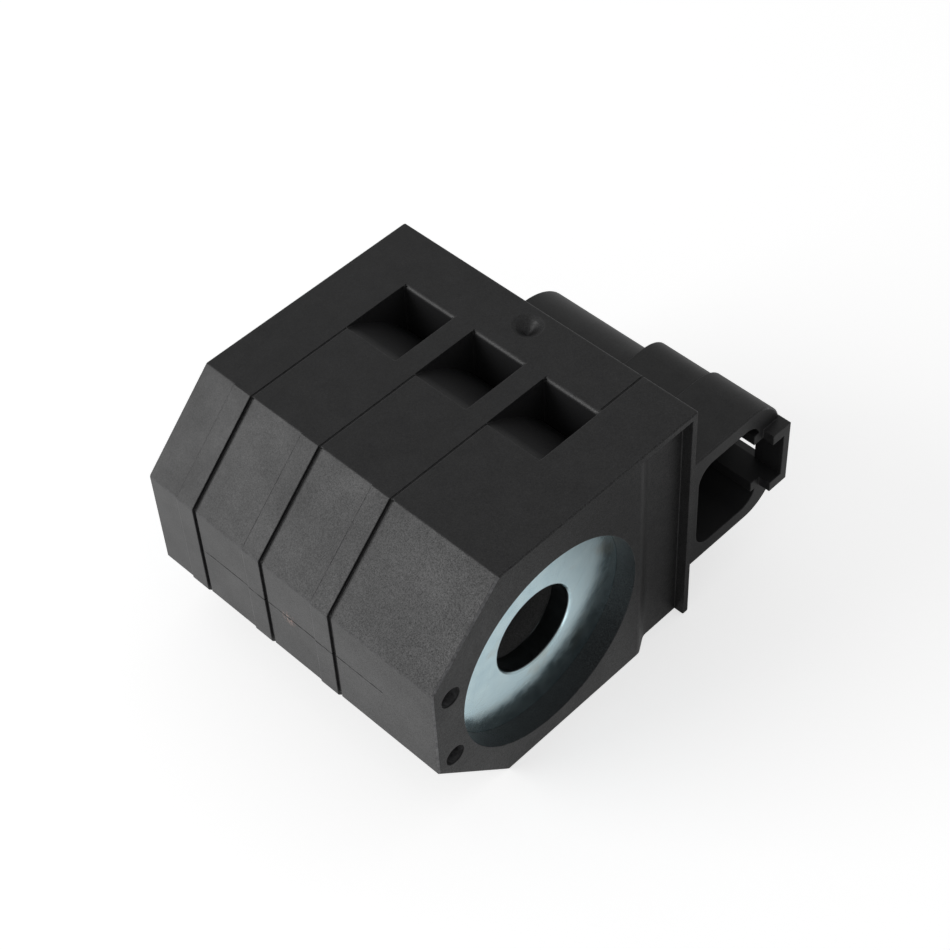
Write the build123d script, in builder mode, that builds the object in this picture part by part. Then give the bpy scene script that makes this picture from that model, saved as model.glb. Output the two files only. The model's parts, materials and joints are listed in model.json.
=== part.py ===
"""Coil of a solenoid valve: steel flux parts, bobbin, winding and contacts in one nylon overmould.

Millimetres. The origin is on the bore axis, halfway between the two end faces.
+Y runs along the bore to the rear, +X points to the connector and +Z up, away from the resting face.
"""
import os
from math import radians, sqrt, tan

from build123d import *

# Body of the overmould
body_length = 57.2
body_height = 44.0
axis_to_top = 23.2
left_reach = 22.6
right_reach = 29.7
corner_cut = 13.1
long_edge_radius = 0.5
end_edge_chamfer = 0.25

# Bore and steel parts of the magnetic circuit
bore_diameter = 14.4
bore_edge_chamfer = 0.3
plate_thickness = 3.5
flux_diameter = 37.2
flux_tube_wall = 2.4
tube_window_margin = 1.6
plate_rim_chamfer = 0.3
plate_rebate_depth = 0.6

# Recess that shows each pole plate
recess_diameter = 34.5
recess_depth = 3.4
recess_draft = 2.5

# Bobbin, winding and wrap
bobbin_bore_clearance = 0.3
bobbin_wall = 1.2
flange_thickness = 1.6
winding_build = 5.7
tape_thickness = 0.3

# Core-out pockets in the top, their floors rounded about the bore axis
pocket_count = 3
pocket_pitch = 13.85
pocket_length = 10.1
pocket_near_x = 8.5
pocket_far_x = 20.1
pocket_floor_radius = 24.5
first_pocket_front = 9.8
pocket_corner_radius = 0.3
pocket_rim_radius = 0.8

# Parting grooves round the eight-sided half, one at the rear edge of each pocket
groove_width = 0.7
groove_depth = 0.4
top_line_width = 0.35
top_line_depth = 0.2
band_height = 0.15
band_width = 3.4

# Relief beside the recess on each end face
relief_start_x = 18.4
relief_slope_run = 3.0
relief_depth = 1.8
relief_rim = 1.15
relief_lip_radius = 2.0

# Small features of the moulding
core_hole_diameter = 3.4
core_hole_depth = 8.0
core_hole_x = -19.4
core_hole_spacing = 13.3
core_hole_centre_z = 0.35
dimple_rim_diameter = 4.9
dimple_rim_depth = 0.4
dimple_cone_diameter = 3.5
dimple_cone_depth = 1.6
dimple_x = 26.0

# Connector tower on the +X side
mouth_height = 22.3
mouth_reach = 18.9
mouth_corner_radius = 6.7
collar_length = 10.5
collar_step = 0.55
stem_inset = 0.9
seam_groove_width = 0.3
seam_groove_depth = 0.25
shroud_length = 20.8
stem_length = 20.1
stem_corner_radius = 10.0
cavity_width = 13.5
cavity_height = 17.1
cavity_depth = 20.0
cavity_wall_near_body = 1.95
cavity_corner_radius = 3.2
mouth_edge_chamfer = 0.25
root_overlap = 2.0

# Latch bridge over the outer wall of the mouth
bridge_height = 12.0
bridge_proud = 2.0
bridge_bar_thickness = 1.3
bridge_bar_length = 5.0
bridge_leg_thickness = 1.8
bridge_leg_reach = 3.8
rib_overhang = 1.1
rib_root = 0.6
window_length = 8.5

# Contacts and the block that carries them
pin_diameter = 1.6
pin_pitch = 5.5
pin_tip_set_back = 10.0
pin_tip_chamfer = 0.4
pin_collar_diameter = 2.8
pin_collar_length = 1.5
pin_tail = 4.6
carrier_length = 11.0
carrier_width = 9.0
carrier_height = 13.0
carrier_corner_radius = 2.0
joint_diameter = 2.9
joint_length = 2.4

# Ends of the winding and their sleeves
lead_diameter = 0.8
lead_bend = 1.2
sleeve_wall = 0.4
sleeve_end_gap = 0.6

# How far a cut runs on past the surface that it starts from
cut_margin = 1.0

# Places that follow from the sizes
front_y = -body_length / 2
rear_y = body_length / 2
top_z = axis_to_top
bottom_z = axis_to_top - body_height
middle_z = (top_z + bottom_z) / 2
slant_x = corner_cut - left_reach
bore_radius = bore_diameter / 2
flux_radius = flux_diameter / 2
tube_inner_radius = flux_radius - flux_tube_wall
recess_radius = recess_diameter / 2
seat_radius = recess_radius - recess_depth * tan(radians(recess_draft))
front_plate_y = front_y + recess_depth
rear_plate_y = rear_y - recess_depth - plate_thickness
tube_front_y = front_plate_y + plate_thickness
tube_length = rear_plate_y - tube_front_y
bobbin_bore_radius = bore_radius + bobbin_bore_clearance
bobbin_barrel_radius = bobbin_bore_radius + bobbin_wall
winding_radius = bobbin_barrel_radius + winding_build
tape_radius = winding_radius + tape_thickness
winding_front_y = tube_front_y + flange_thickness
winding_length = tube_length - 2 * flange_thickness
pocket_depth = top_z - sqrt(pocket_floor_radius**2 - pocket_far_x**2) + cut_margin
pocket_width = pocket_far_x - pocket_near_x
pocket_middle_x = (pocket_far_x + pocket_near_x) / 2
relief_end_x = right_reach - relief_rim
tower_reach = right_reach + mouth_reach
cavity_near_x = relief_end_x + cavity_wall_near_body
cavity_middle_x = cavity_near_x + cavity_width / 2
cavity_far_x = cavity_near_x + cavity_width
cavity_floor_y = front_y + cavity_depth
carrier_rear_y = cavity_floor_y + carrier_length
lead_y = carrier_rear_y + pin_tail / 2
lead_radius = lead_diameter / 2
sleeve_radius = lead_radius + sleeve_wall
pin_radius = pin_diameter / 2
pin_heights = (middle_z + pin_pitch / 2, middle_z - pin_pitch / 2)
bridge_y = front_y - bridge_proud
bar_inner_x = tower_reach - bridge_bar_thickness
leg_near_x = tower_reach - bridge_leg_reach
rib_near_x = cavity_far_x - rib_overhang
slot_height = bridge_height - 2 * bridge_leg_thickness
seam_end = collar_length + seam_groove_width
seam_inset = collar_step + seam_groove_depth
seam_corner_radius = mouth_corner_radius - seam_inset
shroud_corner_radius = mouth_corner_radius - collar_step
pocket_fronts = [front_y + first_pocket_front + i * pocket_pitch for i in range(pocket_count)]
groove_places = [y + pocket_length for y in pocket_fronts]


def across(y):
    """Plane square to the bore at the given y, with X and Z as axes; a negative extrude goes rearwards."""
    return Plane.XZ.offset(-y)


def ring_part(outer_radius, inner_radius, start_y, length):
    """Plain tube round the bore axis."""
    with BuildPart() as ring:
        with BuildSketch(across(start_y)):
            Circle(outer_radius)
            Circle(inner_radius, mode=Mode.SUBTRACT)
        extrude(amount=-length)
    return ring.part


def pole_plate(outer_face_y, inner_face_y):
    """Steel ring with a rebate for the lip of the recess, its hole chamfered on the side that shows."""
    start_y = min(outer_face_y, inner_face_y)
    rebate_y = start_y if outer_face_y < inner_face_y else outer_face_y - plate_rebate_depth
    with BuildPart() as plate:
        add(ring_part(flux_radius, bore_radius, start_y, plate_thickness))
        add(ring_part(flux_radius + cut_margin, seat_radius, rebate_y, plate_rebate_depth), mode=Mode.SUBTRACT)
        outer_face = plate.faces().filter_by(Axis.Y).sort_by(lambda f: abs(f.center().Y - outer_face_y))[0]
        hole_edge = outer_face.edges().filter_by(GeomType.CIRCLE).sort_by(SortBy.RADIUS)[0]
        chamfer(hole_edge, length=bore_edge_chamfer)
        inner_face = plate.faces().filter_by(Axis.Y).sort_by(lambda f: abs(f.center().Y - inner_face_y))[0]
        rim_edge = inner_face.edges().filter_by(GeomType.CIRCLE).sort_by(SortBy.RADIUS)[-1]
        chamfer(rim_edge, length=plate_rim_chamfer)
    return plate.part


# Pole plates
with BuildPart() as front_pole_plate:
    add(pole_plate(front_plate_y, tube_front_y))

with BuildPart() as rear_pole_plate:
    add(pole_plate(rear_plate_y + plate_thickness, rear_plate_y))

# Flux tube, with a window for the two leads
with BuildPart() as flux_tube:
    add(ring_part(flux_radius, tube_inner_radius, tube_front_y, tube_length))
    with BuildSketch(Plane.YZ):
        with Locations((lead_y, middle_z)):
            SlotOverall(
                pin_pitch + 2 * (sleeve_radius + tube_window_margin),
                2 * (sleeve_radius + tube_window_margin),
                rotation=90,
            )
    extrude(amount=flux_radius + cut_margin, mode=Mode.SUBTRACT)

# Bobbin: a barrel and two flanges that fill the flux tube
with BuildPart() as bobbin:
    with BuildSketch(Plane.XY):
        with BuildLine():
            Polyline(
                (bobbin_bore_radius, tube_front_y),
                (tube_inner_radius, tube_front_y),
                (tube_inner_radius, winding_front_y),
                (bobbin_barrel_radius, winding_front_y),
                (bobbin_barrel_radius, winding_front_y + winding_length),
                (tube_inner_radius, winding_front_y + winding_length),
                (tube_inner_radius, tube_front_y + tube_length),
                (bobbin_bore_radius, tube_front_y + tube_length),
                close=True,
            )
        make_face()
    revolve(axis=Axis.Y)

# Winding and the wrap over it
with BuildPart() as winding:
    add(ring_part(winding_radius, bobbin_barrel_radius, winding_front_y, winding_length))

with BuildPart() as winding_tape:
    add(ring_part(tape_radius, winding_radius, winding_front_y, winding_length))


def terminal_pin(height):
    """Round contact with a retaining collar inside the carrier and a plain tail behind it."""
    tip_y = front_y + pin_tip_set_back
    collar_y = cavity_floor_y + (carrier_length - pin_collar_length) / 2
    with BuildPart() as pin:
        with BuildSketch(across(tip_y)):
            with Locations((cavity_middle_x, height)):
                Circle(pin_radius)
        extrude(amount=tip_y - carrier_rear_y - pin_tail)
        chamfer(pin.edges().filter_by(GeomType.CIRCLE).sort_by(Axis.Y)[0], length=pin_tip_chamfer)
        with BuildSketch(across(collar_y)):
            with Locations((cavity_middle_x, height)):
                Circle(pin_collar_diameter / 2)
        extrude(amount=-pin_collar_length)
    return pin.part


def lead_run_x(height):
    """X of a lead where it lies on the wrap."""
    return sqrt((tape_radius + lead_radius) ** 2 - height**2)


def lead_part(height, start_y):
    """Enamelled end of the winding: along the wrap, then out through the window to the contact's tail."""
    run_x = lead_run_x(height)
    with BuildPart() as lead:
        with BuildLine() as path:
            Polyline(
                (run_x, start_y, height),
                (run_x, lead_y + (lead_bend if start_y > lead_y else -lead_bend), height),
                (run_x + lead_bend, lead_y, height),
                (cavity_middle_x - pin_radius, lead_y, height),
            )
        with BuildSketch(Plane(origin=path.line @ 0, z_dir=path.line % 0)):
            Circle(lead_radius)
        sweep(transition=Transition.RIGHT)
    return lead.part


def sleeve_part(height):
    """Insulating sleeve over the straight run of a lead, from the window to the soldered joint."""
    start_x = lead_run_x(height) + lead_bend + lead_radius
    end_x = cavity_middle_x - joint_diameter / 2 - sleeve_end_gap
    with BuildPart() as sleeve:
        with BuildSketch(Plane.YZ.offset(start_x)):
            with Locations((lead_y, height)):
                Circle(sleeve_radius)
                Circle(lead_radius, mode=Mode.SUBTRACT)
        extrude(amount=end_x - start_x)
    return sleeve.part


def joint_part(height, pin, lead):
    """Solder round the tail of a contact and the end of its lead."""
    with BuildPart() as joint:
        with BuildSketch(across(lead_y - joint_length / 2)):
            with Locations((cavity_middle_x, height)):
                Circle(joint_diameter / 2)
        extrude(amount=-joint_length)
        add(pin, mode=Mode.SUBTRACT)
        add(lead, mode=Mode.SUBTRACT)
    return joint.part


# Contacts, leads, sleeves and joints: the start of the winding is above, its finish below
upper_height, lower_height = pin_heights

with BuildPart() as upper_terminal_pin:
    add(terminal_pin(upper_height))

with BuildPart() as lower_terminal_pin:
    add(terminal_pin(lower_height))

with BuildPart() as start_lead:
    add(lead_part(upper_height, winding_front_y))

with BuildPart() as finish_lead:
    add(lead_part(lower_height, winding_front_y + winding_length))

with BuildPart() as start_lead_sleeve:
    add(sleeve_part(upper_height))

with BuildPart() as finish_lead_sleeve:
    add(sleeve_part(lower_height))

with BuildPart() as start_joint:
    add(joint_part(upper_height, upper_terminal_pin.part, start_lead.part))

with BuildPart() as finish_joint:
    add(joint_part(lower_height, lower_terminal_pin.part, finish_lead.part))

# Carrier that holds the two contacts behind the connector cavity
with BuildPart() as terminal_carrier:
    with BuildSketch(across(cavity_floor_y)):
        with Locations((cavity_middle_x, middle_z)):
            RectangleRounded(carrier_width, carrier_height, carrier_corner_radius)
    extrude(amount=-carrier_length)
    add(upper_terminal_pin.part, mode=Mode.SUBTRACT)
    add(lower_terminal_pin.part, mode=Mode.SUBTRACT)

# Section of the body: half an octagon on the left, square corners on the connector side
with BuildSketch() as body_section:
    with BuildLine():
        Polyline(
            (slant_x, top_z),
            (right_reach, top_z),
            (right_reach, bottom_z),
            (slant_x, bottom_z),
            (-left_reach, bottom_z + corner_cut),
            (-left_reach, top_z - corner_cut),
            close=True,
        )
    make_face()
    fillet(body_section.vertices(), radius=long_edge_radius)


def left_skin(outward, inward):
    """Strip along the eight-sided half of the section, from outside its outline to inside it."""
    with BuildSketch() as skin:
        offset(body_section.sketch, amount=outward, kind=Kind.INTERSECTION)
        offset(body_section.sketch, amount=-inward, kind=Kind.INTERSECTION, mode=Mode.SUBTRACT)
        with Locations((slant_x - left_reach, middle_z)):
            Rectangle(2 * left_reach, body_height, mode=Mode.INTERSECT)
    return skin.sketch


def tower_length(from_front, length, set_in, corner_radius):
    """One length of the tower, set in from the mouth's outline, with its two outer corners rounded."""
    root_x = right_reach - root_overlap
    width = tower_reach - set_in - root_x
    with BuildPart() as block:
        with BuildSketch(across(front_y + from_front)) as section:
            with Locations((root_x + width / 2, middle_z)):
                Rectangle(width, mouth_height - 2 * set_in)
            fillet(section.vertices().sort_by(Axis.X)[2:], radius=corner_radius)
        extrude(amount=-length)
    return block.part


# Overmould: body, tower, pockets, grooves, reliefs and latch bridge, moulded round the inner pieces
with BuildPart() as housing:
    with BuildSketch(across(front_y)):
        add(body_section.sketch)
    extrude(amount=-body_length)
    chamfer(housing.edges().filter_by(Plane.XZ), length=end_edge_chamfer)

    # Tower: collar at the mouth, a seam groove, the shroud behind it and the stem over the contacts
    with BuildPart(mode=Mode.PRIVATE) as collar:
        add(tower_length(0, collar_length, 0, mouth_corner_radius))
        mouth_edges = collar.faces().sort_by(Axis.Y)[0].edges().sort_by(Axis.X)[1:]
        chamfer(mouth_edges, length=mouth_edge_chamfer)
    add(collar.part)
    add(tower_length(collar_length, seam_groove_width, seam_inset, seam_corner_radius))
    add(tower_length(seam_end, shroud_length - seam_end, collar_step, shroud_corner_radius))
    add(tower_length(shroud_length, stem_length, stem_inset, stem_corner_radius))

    # Recesses that show the pole plates: drafted down to each seat, then straight to the plate's inner face
    for face_y, rearward in ((front_y, -1), (rear_y, 1)):
        with BuildSketch(across(face_y)):
            Circle(recess_radius)
        extrude(amount=rearward * recess_depth, taper=recess_draft, mode=Mode.SUBTRACT)
        with BuildSketch(across(face_y - rearward * recess_depth)):
            Circle(seat_radius)
        extrude(amount=rearward * plate_thickness, mode=Mode.SUBTRACT)

    # Relief on the front face falls away on a slope, the one on the rear face is a plain step
    lip_start_x = relief_start_x - relief_slope_run / 2
    relief_bottom = bottom_z - cut_margin
    relief_height = top_z - relief_rim - relief_bottom
    with BuildSketch(Plane.XY.offset(relief_bottom)):
        with BuildLine():
            FilletPolyline(
                (lip_start_x, front_y),
                (relief_start_x, front_y),
                (relief_start_x + relief_slope_run, front_y + relief_depth),
                (relief_end_x, front_y + relief_depth),
                radius=relief_lip_radius,
            )
            Polyline(
                (relief_end_x, front_y + relief_depth),
                (relief_end_x, front_y - cut_margin),
                (lip_start_x, front_y - cut_margin),
                (lip_start_x, front_y),
            )
        make_face()
    extrude(amount=relief_height, mode=Mode.SUBTRACT)
    with BuildSketch(Plane.XY.offset(relief_bottom)):
        with BuildLine():
            Polyline(
                (relief_start_x, rear_y + cut_margin),
                (relief_start_x, rear_y - relief_depth),
                (relief_end_x, rear_y - relief_depth),
                (relief_end_x, rear_y + cut_margin),
                close=True,
            )
        make_face()
    extrude(amount=relief_height, mode=Mode.SUBTRACT)

    # Pockets: straight walls, a rounded far rim and a floor that curves down to the far wall
    for pocket_front in pocket_fronts:
        pocket_middle_y = pocket_front + pocket_length / 2
        with BuildPart(mode=Mode.PRIVATE) as pocket:
            with BuildSketch(Plane.XY.offset(top_z)):
                with Locations((pocket_middle_x, pocket_middle_y)):
                    RectangleRounded(pocket_width, pocket_length, pocket_corner_radius)
            extrude(amount=-pocket_depth)
            with BuildSketch(across(pocket_front)):
                Circle(pocket_floor_radius)
            extrude(amount=-pocket_length, mode=Mode.SUBTRACT)
            with BuildSketch(across(pocket_front)):
                with Locations((pocket_far_x, top_z)):
                    Rectangle(pocket_rim_radius, pocket_rim_radius, align=(Align.MIN, Align.MAX))
                with Locations((pocket_far_x + pocket_rim_radius, top_z - pocket_rim_radius)):
                    Circle(pocket_rim_radius, mode=Mode.SUBTRACT)
            extrude(amount=-pocket_length)
        add(pocket.part, mode=Mode.SUBTRACT)

    # Parting grooves round the eight-sided half, with a slightly raised band behind each
    for groove_y in groove_places:
        with BuildSketch(across(groove_y)):
            add(left_skin(band_height, groove_depth))
        extrude(amount=-band_width)
        with BuildSketch(across(groove_y - groove_width)):
            add(left_skin(band_height, groove_depth))
        extrude(amount=-groove_width, mode=Mode.SUBTRACT)

    # Fine lines across the top, from each groove to its pocket, and from the first pocket to the far edge
    line_z = top_z - top_line_depth
    far_line_x = pocket_far_x + pocket_rim_radius
    for groove_y in groove_places:
        with BuildSketch(Plane.XY.offset(line_z)):
            with Locations(((slant_x + pocket_near_x) / 2, groove_y - top_line_width / 2)):
                Rectangle(pocket_near_x - slant_x, top_line_width)
        extrude(amount=top_line_depth, mode=Mode.SUBTRACT)
    with BuildSketch(Plane.XY.offset(line_z)):
        with Locations(((far_line_x + right_reach) / 2, pocket_fronts[0] + top_line_width / 2)):
            Rectangle(right_reach - far_line_x, top_line_width)
    extrude(amount=top_line_depth, mode=Mode.SUBTRACT)

    # Two holes left by the pins that hold the coil in the mould, and a conical gate dimple with a dished rim
    with BuildSketch(across(front_y)):
        with Locations((core_hole_x, core_hole_centre_z)):
            with GridLocations(0, core_hole_spacing, 1, 2):
                Circle(core_hole_diameter / 2)
    extrude(amount=-core_hole_depth, mode=Mode.SUBTRACT)
    with BuildSketch(Plane.XZ):
        with BuildLine():
            Polyline(
                (dimple_x, top_z),
                (dimple_x + dimple_rim_diameter / 2, top_z),
                (dimple_x + dimple_cone_diameter / 2, top_z - dimple_rim_depth),
                (dimple_x, top_z - dimple_rim_depth - dimple_cone_depth),
                close=True,
            )
        make_face()
    revolve(axis=Axis((dimple_x, 0, 0), (0, 0, 1)), mode=Mode.SUBTRACT)

    # Connector cavity
    with BuildSketch(across(front_y)):
        with Locations((cavity_middle_x, middle_z)):
            RectangleRounded(cavity_width, cavity_height, cavity_corner_radius)
    extrude(amount=-cavity_depth, mode=Mode.SUBTRACT)

    # Latch bridge: two legs that run on as ribs inside the cavity, and a bar between them proud of the mouth
    with BuildSketch(across(bridge_y)):
        with Locations(((leg_near_x + tower_reach) / 2, middle_z)):
            with GridLocations(0, bridge_height - bridge_leg_thickness, 1, 2):
                Rectangle(tower_reach - leg_near_x, bridge_leg_thickness)
        with Locations((tower_reach - bridge_bar_thickness / 2, middle_z)):
            Rectangle(bridge_bar_thickness, bridge_height)
    extrude(amount=-bridge_bar_length)
    with BuildSketch(across(front_y)):
        with Locations(((rib_near_x + cavity_far_x + rib_root) / 2, middle_z)):
            with GridLocations(0, bridge_height - bridge_leg_thickness, 1, 2):
                Rectangle(rib_overhang + rib_root, bridge_leg_thickness)
    extrude(amount=-window_length)

    # Slot between the legs, and the window through the outer wall behind the bar
    with BuildSketch(across(bridge_y)):
        with Locations(((rib_near_x + bar_inner_x) / 2, middle_z)):
            Rectangle(bar_inner_x - rib_near_x, slot_height)
    extrude(amount=-(bridge_proud + window_length), mode=Mode.SUBTRACT)
    with BuildSketch(across(bridge_y + bridge_bar_length)):
        with Locations(((rib_near_x + tower_reach) / 2, middle_z)):
            Rectangle(tower_reach - rib_near_x, slot_height)
    extrude(amount=-(bridge_proud + window_length - bridge_bar_length), mode=Mode.SUBTRACT)

    # Room for the bore and for everything that the overmould encloses
    with BuildSketch(across(tube_front_y)):
        Circle(bobbin_bore_radius)
    extrude(amount=-tube_length, mode=Mode.SUBTRACT)
    for inner in (front_pole_plate, rear_pole_plate, flux_tube, bobbin, winding, winding_tape,
                  terminal_carrier, upper_terminal_pin, lower_terminal_pin, start_lead, finish_lead,
                  start_lead_sleeve, finish_lead_sleeve, start_joint, finish_joint):
        add(inner.part, mode=Mode.SUBTRACT)

pieces = {
    "housing": housing,
    "front_pole_plate": front_pole_plate,
    "rear_pole_plate": rear_pole_plate,
    "flux_tube": flux_tube,
    "bobbin": bobbin,
    "winding": winding,
    "winding_tape": winding_tape,
    "terminal_carrier": terminal_carrier,
    "upper_terminal_pin": upper_terminal_pin,
    "lower_terminal_pin": lower_terminal_pin,
    "start_lead": start_lead,
    "finish_lead": finish_lead,
    "start_lead_sleeve": start_lead_sleeve,
    "finish_lead_sleeve": finish_lead_sleeve,
    "start_joint": start_joint,
    "finish_joint": finish_joint,
}

os.makedirs("parts", exist_ok=True)
for name, piece in pieces.items():
    piece.part.label = name
    export_step(piece.part, f"parts/{name}.step")
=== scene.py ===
"""Looks of the solenoid valve coil: materials for its pieces, studio light and the photograph's camera.

Metres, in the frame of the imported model: the origin on the bore axis at half length, +Y to the rear,
+X to the connector and +Z up to the face with the pockets.
"""
import json
from math import pi, radians

import bpy
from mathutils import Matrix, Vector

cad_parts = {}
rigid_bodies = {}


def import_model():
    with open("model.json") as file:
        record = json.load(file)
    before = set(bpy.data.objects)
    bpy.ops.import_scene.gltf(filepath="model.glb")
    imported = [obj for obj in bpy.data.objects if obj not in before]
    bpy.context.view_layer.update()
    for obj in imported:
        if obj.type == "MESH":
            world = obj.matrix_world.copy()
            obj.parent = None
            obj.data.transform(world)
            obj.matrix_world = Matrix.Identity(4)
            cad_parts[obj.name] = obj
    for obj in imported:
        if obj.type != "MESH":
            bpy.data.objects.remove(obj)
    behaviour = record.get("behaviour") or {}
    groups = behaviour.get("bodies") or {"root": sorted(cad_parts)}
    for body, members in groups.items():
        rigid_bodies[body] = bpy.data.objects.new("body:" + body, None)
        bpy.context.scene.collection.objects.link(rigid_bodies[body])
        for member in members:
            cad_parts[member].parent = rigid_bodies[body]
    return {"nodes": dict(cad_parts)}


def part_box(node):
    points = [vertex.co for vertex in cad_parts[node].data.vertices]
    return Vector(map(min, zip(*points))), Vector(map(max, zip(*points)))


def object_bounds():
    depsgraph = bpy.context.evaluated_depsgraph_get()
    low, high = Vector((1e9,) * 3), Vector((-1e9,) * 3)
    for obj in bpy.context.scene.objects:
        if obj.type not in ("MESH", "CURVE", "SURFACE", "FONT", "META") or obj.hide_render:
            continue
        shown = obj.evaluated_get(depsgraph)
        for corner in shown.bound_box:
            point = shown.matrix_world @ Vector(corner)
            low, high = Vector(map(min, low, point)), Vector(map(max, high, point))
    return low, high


MM = 0.001

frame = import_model()
cad_low, cad_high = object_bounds()
nodes = frame["nodes"]
housing_low, housing_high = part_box("housing")

# Outer faces of the housing in mm
left_side = housing_low[0] / MM
rear_end = housing_high[1] / MM
top_face = housing_high[2] / MM

# Hollows of the housing in mm: a range along X, Y and Z, each with the softness of its ends
pockets = ((8.6, 20.2, 0.05), (-18.9, 19.1, 0.1), (12.0, top_face - 0.6, 0.3))
connector_cavity = ((30.4, 44.1, 0.02), (-28.4, -8.0, 0.1), (-7.45, 9.85, 0.02))
latch_slot = ((43.9, 47.4, 0.05), (-30.0, -20.05, 0.05), (-3.1, 5.5, 0.02))

# The two blind holes beside the front plate, which lie alike above and below the middle
blind_holes = ((-21.2, -17.6, 0.05), (-28.4, -20.0, 0.1), (4.5, 9.0, 0.05))

# Other places on the housing in mm, as a range with the softness of its ends
between_ends = (0.1 - rear_end, rear_end - 0.1, 0.05)
relief_width = (18.0, 29.5, 0.1)
parting_height = (1.72, 1.98, 0.05)
parting_length = (-18.6, 17.8, 0.4)
slant_height = (9.0, top_face - 0.3, 0.3)

# Places in mm where one tone passes into another
tower_start = (29.6, 29.8)
recess_rim = (17.3, 17.35)
bore_rim = (7.22, 7.3)
left_corner = (left_side + 0.85, left_side + 0.65)
left_face = (left_side + 0.55, left_side + 0.35)
slant_start = (-8.8, -9.3)

# Faint lines of the mould across the slanted faces, in mm from the middle
witness_places = (-5.3, 8.55)
witness_half_width = 0.07
witness_softness = 0.04
witness_strength = 0.45

# The graze on the side away from the connector, in mm
graze_centre = (left_side + 0.15, 0.3, 1.7)
graze_reach = (0.5, 1.6)

# Range of a part of the surface's normal in which a face counts as level, as the front or as an edge
level_normal = (0.85, 0.95)
front_normal = (-0.95, -0.85)
end_edge_normal = (0.6, 0.8, 0.03)
long_edge_normal = (0.1, 0.62, 0.05)

# Strength of the moulded grain
top_grain = 0.3
tower_grain = 0.35
front_grain = 1.15
rear_grain = 0.3

# Painted shade on the recess walls and the front face, as the share of their sheen taken away, beside the
# walls of the pockets
recess_painted_shade = 0.15
front_painted_shade = 0.22

# Colours
housing_black = (0.014, 0.014, 0.0145)
bobbin_black = (0.1, 0.1, 0.1)
carrier_black = (0.02, 0.02, 0.021)
fibre_grey = (0.08, 0.08, 0.08)
bobbin_fibre = (0.16, 0.16, 0.16)
line_black = (0.004, 0.004, 0.004)
scuff_grey = (0.05, 0.05, 0.051)
graze_brown = (0.26, 0.17, 0.14)
zinc, pale_zinc = (0.60, 0.80, 0.87), (0.74, 0.93, 0.98)
straw_tint = (0.56, 0.54, 0.44)
bore_wall_grey = (0.17, 0.175, 0.18)
steel, pale_steel = (0.30, 0.30, 0.31), (0.46, 0.46, 0.47)
brass, dull_brass = (0.72, 0.42, 0.18), (0.60, 0.33, 0.14)
copper, dull_copper = (0.55, 0.18, 0.06), (0.42, 0.12, 0.04)
enamel, pale_enamel = (0.36, 0.09, 0.025), (0.55, 0.17, 0.05)
tin, dull_tin = (0.60, 0.60, 0.60), (0.48, 0.48, 0.49)
film_amber = (0.55, 0.38, 0.08)
glass_white = (0.62, 0.60, 0.54)

# Sizes in the nylon's surface, and the softness of edges
blotch_size = 9 * MM
cloud_size = 3 * MM
pit_size = 0.55 * MM
pit_depth = 0.014 * MM
grain_size = 0.17 * MM
line_depth = 0.06 * MM
nylon_edge = 0.2 * MM
plate_edge = 0.25 * MM
tube_edge = 0.2 * MM
edge_samples = 6

# Cosine between the rounded normal and the true one at which the paler edge, wear and painted highlight,
# starts and at which it is full
pale_edge_start, pale_edge_full = 0.995, 0.9

# Range that most of the noise falls in
noise_low, noise_high = 0.3, 0.7

# Colour sockets of a mix node
mix_first, mix_second, mix_result = 6, 7, 2

# Tones of the nylon, as shares of its base colour
dark_grain = 0.55
pale_grain = 1.45
# Base tone under the painted shade of the hollows and the front face, where most of the sheen is taken away
painted_shade_tone = 1.5
# Tone of the paler edges, partly wear and partly a painted highlight
wear_and_highlight_tone = 6.0
# Tone of the painted highlight on chosen edges, also used to make the blind holes paler
edge_highlight_and_hole_tone = 11.0

# Sheen of the nylon: its middle, its swing over the grain, and what is left of it under the painted shade
# of hollows and in lines
sheen = 0.5
sheen_swing = 1.1
painted_shade_sheen = 0.22
line_sheen = 0.15


# Node helpers
def new_material(name):
    """An empty node material with its main shader, and the tree that holds them."""
    material = bpy.data.materials.new(name)
    material.use_nodes = True
    tree = material.node_tree
    tree.nodes.clear()
    output = tree.nodes.new("ShaderNodeOutputMaterial")
    shader = tree.nodes.new("ShaderNodeBsdfPrincipled")
    tree.links.new(shader.outputs["BSDF"], output.inputs["Surface"])
    return material, tree, shader


def put(tree, socket, value):
    """Sets an input to a value, or links it where the value is another node's output."""
    if isinstance(value, bpy.types.NodeSocket):
        tree.links.new(value, socket)
    else:
        socket.default_value = value


def object_point(tree):
    """Position on the object in metres."""
    return tree.nodes.new("ShaderNodeTexCoord").outputs["Object"]


def noise(tree, point, size, detail=2.0, roughness=0.5, seed=0.0):
    """Noise with features of about the given size, centred on a half."""
    node = tree.nodes.new("ShaderNodeTexNoise")
    node.noise_dimensions = "4D"
    put(tree, node.inputs["Vector"], point)
    node.inputs["W"].default_value = seed
    node.inputs["Scale"].default_value = 1 / size
    node.inputs["Detail"].default_value = detail
    node.inputs["Roughness"].default_value = roughness
    return node.outputs["Fac"]


def cells(tree, point, size):
    """Flat cells of about the given size, each with its own tone."""
    node = tree.nodes.new("ShaderNodeTexVoronoi")
    put(tree, node.inputs["Vector"], point)
    node.inputs["Scale"].default_value = 1 / size
    return node.outputs["Color"]


def remap(tree, value, low, high, to_low, to_high):
    """Value carried from one range to another, held at the ends."""
    node = tree.nodes.new("ShaderNodeMapRange")
    node.clamp = True
    put(tree, node.inputs["Value"], value)
    node.inputs["From Min"].default_value = low
    node.inputs["From Max"].default_value = high
    node.inputs["To Min"].default_value = to_low
    node.inputs["To Max"].default_value = to_high
    return node.outputs["Result"]


def spread(tree, value, to_low, to_high):
    """Noise carried from the range that most of it falls in to another."""
    return remap(tree, value, noise_low, noise_high, to_low, to_high)


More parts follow.
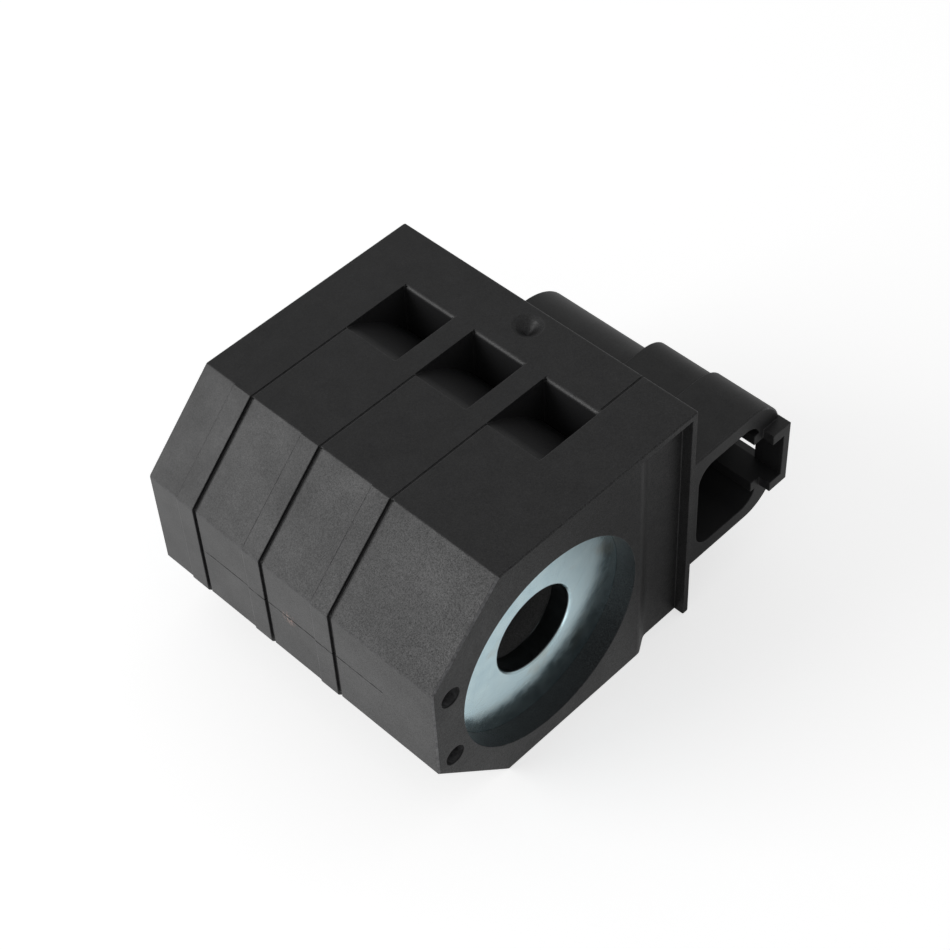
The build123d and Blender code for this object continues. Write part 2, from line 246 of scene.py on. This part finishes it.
def across(tree, distance, edge, before, after):
    """One number before an edge and another after it, with the edge as two distances in mm."""
    return remap(tree, distance, edge[0] * MM, edge[1] * MM, before, after)


def combine(tree, operation, first, second=0.0, third=0.0):
    """Plain arithmetic on numbers."""
    node = tree.nodes.new("ShaderNodeMath")
    node.operation = operation
    put(tree, node.inputs[0], first)
    put(tree, node.inputs[1], second)
    put(tree, node.inputs[2], third)
    return node.outputs[0]


def product(tree, first, *factors):
    """Numbers multiplied together."""
    for factor in factors:
        first = combine(tree, "MULTIPLY", first, factor)
    return first


def largest(tree, first, *others):
    """The largest of the numbers."""
    for other in others:
        first = combine(tree, "MAXIMUM", first, other)
    return first


def along(tree, vector, axis):
    """One part of a vector, by the letter of its axis."""
    node = tree.nodes.new("ShaderNodeSeparateXYZ")
    put(tree, node.inputs[0], vector)
    return node.outputs[axis]


def from_bore_axis(tree, point):
    """Distance from the axis of the bore."""
    x = along(tree, point, "X")
    z = along(tree, point, "Z")
    squares = combine(tree, "MULTIPLY_ADD", x, x, combine(tree, "MULTIPLY", z, z))
    return combine(tree, "SQRT", squares)


def between(tree, value, low, high, soft):
    """One inside a range and nought outside, with soft ends."""
    rise = remap(tree, value, low - soft, low + soft, 0.0, 1.0)
    fall = remap(tree, value, high - soft, high + soft, 1.0, 0.0)
    return combine(tree, "MULTIPLY", rise, fall)


def within(tree, distance, limits):
    """One inside a range of the housing and nought outside, for limits in mm."""
    low, high, soft = limits
    return between(tree, distance, low * MM, high * MM, soft * MM)


def inside(tree, place, hollow):
    """One inside a hollow of the housing and nought outside."""
    return product(tree, *(within(tree, distance, limits) for distance, limits in zip(place, hollow)))


def toned(colour, factor=1.0):
    """Colour at a share of its strength, with its alpha."""
    return tuple(factor * part for part in colour) + (1,)


def blend(tree, factor, first, second):
    """Mix of two colours."""
    node = tree.nodes.new("ShaderNodeMix")
    node.data_type = "RGBA"
    put(tree, node.inputs[0], factor)
    put(tree, node.inputs[mix_first], first)
    put(tree, node.inputs[mix_second], second)
    return node.outputs[mix_result]


def bump(tree, height, distance, strength=1.0, under=None):
    """Normal raised by a height field."""
    node = tree.nodes.new("ShaderNodeBump")
    node.inputs["Strength"].default_value = strength
    node.inputs["Distance"].default_value = distance
    put(tree, node.inputs["Height"], height)
    if under is not None:
        put(tree, node.inputs["Normal"], under)
    return node.outputs["Normal"]


def rounded_edges(tree, radius):
    """Normal that rounds every edge a little."""
    node = tree.nodes.new("ShaderNodeBevel")
    node.samples = edge_samples
    node.inputs["Radius"].default_value = radius
    return node.outputs["Normal"]


def edge_mask(tree, rounded):
    """One at an edge painted paler, partly for wear and partly as a painted highlight, where the rounded
    normal leaves the true one, and nought elsewhere.
    """
    geometry = tree.nodes.new("ShaderNodeNewGeometry")
    dot = tree.nodes.new("ShaderNodeVectorMath")
    dot.operation = "DOT_PRODUCT"
    put(tree, dot.inputs[0], rounded)
    put(tree, dot.inputs[1], geometry.outputs["Normal"])
    return remap(tree, dot.outputs["Value"], pale_edge_start, pale_edge_full, 0.0, 1.0)


# Materials
def black_nylon(name, base, fleck, grain_depth, marks=None, zones=None):
    """Moulded glass-filled nylon: eroded grain, faint blotches, pale fibre flecks and edges painted paler,
    partly wear and partly a painted highlight; with zones also painted shade in hollows and painted edge
    highlights.
    """
    material, tree, shader = new_material(name)
    point = object_point(tree)
    rounded = rounded_edges(tree, nylon_edge)
    blotches = noise(tree, point, blotch_size, detail=3, seed=1.0)
    grain = noise(tree, point, grain_size, detail=2, roughness=0.6, seed=2.0)
    pits = noise(tree, point, pit_size, detail=2, seed=3.0)
    fibres = noise(tree, point, grain_size, detail=1, seed=4.0)
    clouds = noise(tree, point, cloud_size, detail=4, roughness=0.7, seed=16.0)

    shade = product(tree, spread(tree, blotches, 0.92, 1.08), remap(tree, grain, 0.32, 0.68, 0.7, 1.3))
    shade = remap(tree, shade, dark_grain, pale_grain, 0.0, 1.0)
    colour = blend(tree, shade, toned(base, dark_grain), toned(base, pale_grain))
    colour = blend(tree, remap(tree, fibres, 0.7, 0.8, 0.0, 0.35), colour, toned(fleck))
    # Every rounded edge painted paler, partly wear and partly a painted highlight
    worn_and_highlit_edge = product(tree, edge_mask(tree, rounded), remap(tree, pits, 0.35, 0.65, 0.15, 0.6))
    colour = blend(tree, worn_and_highlit_edge, colour, toned(base, wear_and_highlight_tone))
    surface = bump(tree, pits, pit_depth, 0.8, rounded)

    grain_share = 1.0
    if zones:
        grain_share, painted_shade, painted_edge_highlight_and_holes = zones(tree, point)
    swing = product(tree, combine(tree, "SUBTRACT", grain, 0.5), grain_share)
    gloss = combine(tree, "MULTIPLY_ADD", swing, sheen_swing, sheen)
    gloss = product(tree, gloss, spread(tree, clouds, 0.88, 1.12))
    if zones:
        # Painted shade in the hollows and on the front face: a paler base but most of the sheen taken away
        colour = blend(tree, painted_shade, colour, toned(base, painted_shade_tone))
        gloss = product(tree, gloss, remap(tree, painted_shade, 0.0, 1.0, 1.0, painted_shade_sheen))
        # Painted highlight on chosen edges, and paler blind holes, broken up by the pits
        painted_edge_highlight_and_holes = product(tree, painted_edge_highlight_and_holes, spread(tree, pits, 0.2, 1.0))
        colour = blend(tree, painted_edge_highlight_and_holes, colour, toned(base, edge_highlight_and_hole_tone))
    if marks:
        lines, scuffs, graze = marks(tree, point)
        colour = blend(tree, product(tree, lines, 0.75), colour, toned(line_black))
        colour = blend(tree, scuffs, colour, toned(scuff_grey))
        colour = blend(tree, graze, colour, toned(graze_brown))
        gloss = product(tree, gloss, remap(tree, lines, 0.0, 1.0, 1.0, line_sheen))
        surface = bump(tree, product(tree, lines, -1.0), line_depth, 1.0, surface)

    put(tree, shader.inputs["Base Color"], colour)
    put(tree, shader.inputs["Roughness"], spread(tree, blotches, 0.42, 0.5))
    put(tree, shader.inputs["Specular IOR Level"], gloss)
    height = product(tree, grain, grain_share)
    put(tree, shader.inputs["Normal"], bump(tree, height, grain_depth, 1.0, surface))
    return material


def housing_zones(tree, point):
    """Strength of the grain, painted shade in the hollows and on the front face, and a painted highlight on
    chosen edges with paler blind holes.
    """
    place = [along(tree, point, axis) for axis in "XYZ"]
    x, y, z = place
    normal = tree.nodes.new("ShaderNodeNewGeometry").outputs["True Normal"]
    rearward = along(tree, normal, "Y")
    endward = combine(tree, "ABSOLUTE", rearward)
    upward = along(tree, normal, "Z")

    on_top = remap(tree, upward, *level_normal, 1.0, top_grain)
    on_tower = across(tree, x, tower_start, 1.0, tower_grain)
    to_rear = remap(tree, y, housing_low[1], housing_high[1], front_grain, rear_grain)
    grain_share = product(tree, on_top, on_tower, to_rear)

    # Painted shade: sheen taken from the recess walls, the front face off the relief, the pockets, the
    # connector cavity and the latch slot
    recess = product(tree, across(tree, from_bore_axis(tree, point), recess_rim, 1.0, 0.0),
                     within(tree, y, between_ends), recess_painted_shade)
    off_relief = combine(tree, "SUBTRACT", 1.0, within(tree, x, relief_width))
    front = product(tree, remap(tree, rearward, *front_normal, front_painted_shade, 0.0), off_relief)
    painted_shade = largest(tree, inside(tree, place, pockets), inside(tree, place, connector_cavity),
                     inside(tree, place, latch_slot), recess, front)

    # Painted highlight along the narrow end edges and the long edge beside the left side, picked by the way
    # they face; the blind holes are made paler
    end_edge = product(tree, between(tree, endward, *end_edge_normal), off_relief,
                       remap(tree, upward, 0.58, 0.66, 1.0, 0.0))
    long_edge = product(tree, between(tree, upward, *long_edge_normal),
                        across(tree, x, left_corner, 0.0, 0.3), remap(tree, endward, 0.1, 0.3, 1.0, 0.0))
    off_middle = combine(tree, "ABSOLUTE", z)
    holes = product(tree, inside(tree, (x, y, off_middle), blind_holes), 0.8)
    return grain_share, painted_shade, largest(tree, end_edge, long_edge, holes)


def housing_marks(tree, point):
    """Lines of the mould on the eight-sided half, light scuffs and one graze, each as a mask."""
    x, y, z = (along(tree, point, axis) for axis in "XYZ")
    breaks = noise(tree, point, 2.5 * MM, detail=3, roughness=0.7, seed=21.0)
    waver = product(tree, combine(tree, "SUBTRACT", breaks, 0.5), 0.12 * MM)
    wavy_y = combine(tree, "ADD", y, waver)
    wavy_z = combine(tree, "ADD", z, waver)

    lines = product(tree, within(tree, wavy_z, parting_height), within(tree, y, parting_length),
                    across(tree, x, left_face, 0.0, 1.0), remap(tree, breaks, 0.36, 0.5, 0.35, 1.0))
    on_slant = product(tree, within(tree, z, slant_height), across(tree, x, slant_start, 0.0, 1.0))
    for middle in witness_places:
        limits = (middle - witness_half_width, middle + witness_half_width, witness_softness)
        witness = product(tree, within(tree, wavy_y, limits), on_slant, witness_strength,
                          remap(tree, breaks, 0.4, 0.55, 0.3, 1.0))
        lines = largest(tree, lines, witness)

    streaks = noise(tree, point, 1.6 * MM, detail=4, roughness=0.75, seed=22.0)
    patches = noise(tree, point, 14 * MM, detail=2, seed=23.0)
    scuffs = product(tree, remap(tree, streaks, 0.6, 0.72, 0.0, 0.35),
                     remap(tree, patches, 0.52, 0.62, 0.0, 1.0))

    from_graze = tree.nodes.new("ShaderNodeVectorMath")
    from_graze.operation = "DISTANCE"
    put(tree, from_graze.inputs[0], point)
    from_graze.inputs[1].default_value = [part * MM for part in graze_centre]
    near_graze = across(tree, from_graze.outputs["Value"], graze_reach, 1.0, 0.0)
    scratches = noise(tree, point, 0.5 * MM, detail=3, roughness=0.7, seed=24.0)
    graze = product(tree, near_graze, remap(tree, scratches, 0.5, 0.6, 0.0, 1.0))
    return lines, scuffs, graze


def zinc_plate(name):
    """Blue-white zinc plating on a stamped steel ring: soft spangle, small dents and a faint straw tint."""
    material, tree, shader = new_material(name)
    point = object_point(tree)
    spangle = cells(tree, point, 0.9 * MM)
    tint = noise(tree, point, 6 * MM, detail=2, seed=5.0)
    haze = noise(tree, point, 2.2 * MM, detail=4, roughness=0.6, seed=6.0)
    dents = noise(tree, point, 1.1 * MM, detail=3, roughness=0.6, seed=7.0)
    fine = noise(tree, point, 0.12 * MM, detail=2, seed=8.0)

    colour = blend(tree, spread(tree, haze, 0.0, 1.0), toned(zinc), toned(pale_zinc))
    colour = blend(tree, remap(tree, tint, 0.58, 0.72, 0.0, 0.45), colour, toned(straw_tint))
    bore_wall = across(tree, from_bore_axis(tree, point), bore_rim, 0.9, 0.0)
    colour = blend(tree, bore_wall, colour, toned(bore_wall_grey))
    put(tree, shader.inputs["Base Color"], colour)
    shader.inputs["Metallic"].default_value = 1.0
    put(tree, shader.inputs["Roughness"], spread(tree, haze, 0.17, 0.27))
    surface = bump(tree, dents, 0.02 * MM, 0.35, rounded_edges(tree, plate_edge))
    surface = bump(tree, spangle, 0.012 * MM, 0.5, surface)
    put(tree, shader.inputs["Normal"], bump(tree, fine, 0.004 * MM, 0.5, surface))
    return material


def turned_steel(name):
    """Turned low-carbon steel with faint rings round the bore axis."""
    material, tree, shader = new_material(name)
    point = object_point(tree)
    rings = noise(tree, along(tree, point, "Y"), 0.15 * MM, detail=2, seed=9.0)
    stains = noise(tree, point, 4 * MM, detail=4, seed=10.0)
    put(tree, shader.inputs["Base Color"], blend(tree, stains, toned(steel), toned(pale_steel)))
    shader.inputs["Metallic"].default_value = 1.0
    put(tree, shader.inputs["Roughness"], spread(tree, stains, 0.35, 0.55))
    put(tree, shader.inputs["Normal"], bump(tree, rings, 0.01 * MM, 0.5, rounded_edges(tree, tube_edge)))
    return material


def drawn_metal(name, base, streak, roughness):
    """Drawn wire or pin, with fine streaks and dull patches."""
    material, tree, shader = new_material(name)
    point = object_point(tree)
    streaks = noise(tree, point, 0.3 * MM, detail=3, seed=11.0)
    patches = noise(tree, point, 1.2 * MM, detail=2, seed=12.0)
    put(tree, shader.inputs["Base Color"], blend(tree, patches, toned(base), toned(streak)))
    shader.inputs["Metallic"].default_value = 1.0
    put(tree, shader.inputs["Roughness"], spread(tree, streaks, *roughness))
    put(tree, shader.inputs["Normal"], bump(tree, streaks, 0.005 * MM, 0.4))
    return material


def enamelled_wire(name, turn_pitch):
    """Close-wound enamelled copper wire, its turns shown as fine ridges round the bore axis."""
    material, tree, shader = new_material(name)
    point = object_point(tree)
    turns = combine(tree, "SINE", product(tree, along(tree, point, "Y"), 2 * pi / turn_pitch))
    patches = noise(tree, point, 3 * MM, detail=2, seed=13.0)
    put(tree, shader.inputs["Base Color"], blend(tree, patches, toned(enamel), toned(pale_enamel)))
    shader.inputs["Metallic"].default_value = 0.7
    put(tree, shader.inputs["Roughness"], spread(tree, patches, 0.25, 0.4))
    shader.inputs["Coat Weight"].default_value = 0.6
    put(tree, shader.inputs["Normal"], bump(tree, turns, 0.08 * MM, 0.8))
    return material


def thin_wrap(name, base, overlap_pitch):
    """Film or woven sleeve wound in overlapping turns."""
    material, tree, shader = new_material(name)
    point = object_point(tree)
    weave = noise(tree, point, 0.25 * MM, detail=2, seed=14.0)
    turns = combine(tree, "FRACT", product(tree, along(tree, point, "Y"), 1 / overlap_pitch))
    colour = blend(tree, spread(tree, weave, 0.0, 1.0), toned(base, 0.75), toned(base))
    put(tree, shader.inputs["Base Color"], colour)
    put(tree, shader.inputs["Roughness"], spread(tree, weave, 0.35, 0.5))
    surface = bump(tree, turns, 0.05 * MM, 0.6)
    put(tree, shader.inputs["Normal"], bump(tree, weave, 0.01 * MM, 0.6, surface))
    return material


def dress(material, *names):
    """Gives a material to every slot of the named nodes."""
    for name in names:
        mesh = nodes[name].data
        if not mesh.materials:
            mesh.materials.append(material)
        for index in range(len(mesh.materials)):
            mesh.materials[index] = material


dress(black_nylon("housing_nylon", housing_black, fibre_grey, grain_depth=0.03 * MM,
                  marks=housing_marks, zones=housing_zones), "housing")
dress(black_nylon("bobbin_nylon", bobbin_black, bobbin_fibre, grain_depth=0.006 * MM), "bobbin")
dress(black_nylon("carrier_nylon", carrier_black, fibre_grey, grain_depth=0.008 * MM), "terminal_carrier")
dress(zinc_plate("zinc_plating"), "front_pole_plate", "rear_pole_plate")
dress(turned_steel("turned_steel"), "flux_tube")
dress(drawn_metal("contact_brass", brass, dull_brass, roughness=(0.22, 0.38)),
      "upper_terminal_pin", "lower_terminal_pin")
dress(drawn_metal("lead_copper", copper, dull_copper, roughness=(0.25, 0.4)), "start_lead", "finish_lead")
dress(drawn_metal("tin_solder", tin, dull_tin, roughness=(0.2, 0.4)), "start_joint", "finish_joint")
dress(enamelled_wire("winding_wire", turn_pitch=0.55 * MM), "winding")
dress(thin_wrap("wrap_film", film_amber, overlap_pitch=6 * MM), "winding_tape")
dress(thin_wrap("glass_sleeving", glass_white, overlap_pitch=0.8 * MM),
      "start_lead_sleeve", "finish_lead_sleeve")

for node in nodes.values():
    for polygon in node.data.polygons:
        polygon.use_smooth = True

# Floor: white to the camera, with a soft trace of the object's shadow
floor_reach = 1.5
floor_gap = 0.05 * MM
floor_paper = 0.65
floor_glow = 0.64

# Painted light on the floor that only glossy faces see, as steps along X in mm that are added together: a
# painted pool of light bright beside the eight-sided half, less under the body, none beside the tower and a
# little beyond it
painted_floor_light_steps = (
    ((-34, -18), 0.7, 0.0),
    ((18, 30), 0.56, 0.0),
    ((44, 60), 0.0, 0.3),
)


def seen_directly(tree, path):
    """One for what the camera sees, straight or through clear material, and nought for other light."""
    return largest(tree, path.outputs["Is Camera Ray"], path.outputs["Is Transmission Ray"])


def white_floor():
    """Pale floor under the object that stays white in the view, with steps of painted light along X that
    only reflections see.
    """
    material = bpy.data.materials.new("floor_white")
    material.use_nodes = True
    tree = material.node_tree
    tree.nodes.clear()
    output = tree.nodes.new("ShaderNodeOutputMaterial")
    glow = tree.nodes.new("ShaderNodeEmission")
    glow.inputs["Color"].default_value = (1, 1, 1, 1)
    paper = tree.nodes.new("ShaderNodeBsdfDiffuse")
    paper.inputs["Color"].default_value = (floor_paper, floor_paper, floor_paper, 1)
    total = tree.nodes.new("ShaderNodeAddShader")
    path = tree.nodes.new("ShaderNodeLightPath")
    x = along(tree, object_point(tree), "X")
    painted_reflected_light = 0.0
    for edge, before, after in painted_floor_light_steps:
        painted_reflected_light = combine(tree, "ADD", painted_reflected_light, across(tree, x, edge, before, after))
    painted_reflected_light = product(tree, path.outputs["Is Glossy Ray"], painted_reflected_light)
    glow_share = largest(tree, seen_directly(tree, path), painted_reflected_light)
    put(tree, glow.inputs["Strength"], product(tree, glow_share, floor_glow))
    tree.links.new(paper.outputs["BSDF"], total.inputs[0])
    tree.links.new(glow.outputs["Emission"], total.inputs[1])
    tree.links.new(total.outputs["Shader"], output.inputs["Surface"])

    mesh = bpy.data.meshes.new("floor")
    corners = [(side_x * floor_reach, side_y * floor_reach, 0)
               for side_x, side_y in ((-1, -1), (1, -1), (1, 1), (-1, 1))]
    mesh.from_pydata(corners, [], [(0, 1, 2, 3)])
    mesh.materials.append(material)
    floor = bpy.data.objects.new("floor", mesh)
    floor.location.z = cad_low[2] - floor_gap
    bpy.context.scene.collection.objects.link(floor)


white_floor()

# Light: one large soft key behind the side away from the connector, above the top face, and a pale sky
key_place = (-0.722, 0.456, 0.38)
key_size = 0.6
key_power = 4.2
sky_light = 0.42
sky_white = 1.0


def soft_light(name, place, size, power):
    """Square soft light at a place, turned to the origin."""
    scene_objects = bpy.context.scene.collection.objects
    lamp = bpy.data.lights.new(name, "AREA")
    lamp.shape = "SQUARE"
    lamp.size = size
    lamp.energy = power
    light = bpy.data.objects.new(name, lamp)
    light.location = place
    light.visible_camera = False
    aim = bpy.data.objects.new(name + "_aim", None)
    scene_objects.link(light)
    scene_objects.link(aim)
    turn = light.constraints.new("TRACK_TO")
    turn.target = aim
    turn.track_axis = "TRACK_NEGATIVE_Z"
    turn.up_axis = "UP_Y"


def pale_sky():
    """World that lights the object evenly and is white behind it."""
    world = bpy.data.worlds.new("room")
    bpy.context.scene.world = world
    world.use_nodes = True
    tree = world.node_tree
    tree.nodes.clear()
    output = tree.nodes.new("ShaderNodeOutputWorld")
    sky = tree.nodes.new("ShaderNodeBackground")
    sky.inputs["Color"].default_value = (1, 1, 1, 1)
    seen = seen_directly(tree, tree.nodes.new("ShaderNodeLightPath"))
    put(tree, sky.inputs["Strength"], remap(tree, seen, 0.0, 1.0, sky_light, sky_white))
    tree.links.new(sky.outputs["Background"], output.inputs["Surface"])


soft_light("key", key_place, key_size, key_power)
pale_sky()

scene = bpy.context.scene
scene.view_settings.view_transform = "Standard"

# Camera of the photograph, its turn in degrees
camera_place = (-0.129107, -0.153366, 0.238686)
camera_turn = (41.2692, 2.4056, -45.5430)

lens = bpy.data.cameras.new("photo_camera")
lens.sensor_width = 36.0
lens.lens = 81.95
lens.shift_x = 0.0057
lens.shift_y = 0.0059
lens.clip_start = 0.01
camera = bpy.data.objects.new("photo_camera", lens)
camera.location = camera_place
camera.rotation_euler = [radians(angle) for angle in camera_turn]
scene.collection.objects.link(camera)
scene.camera = camera
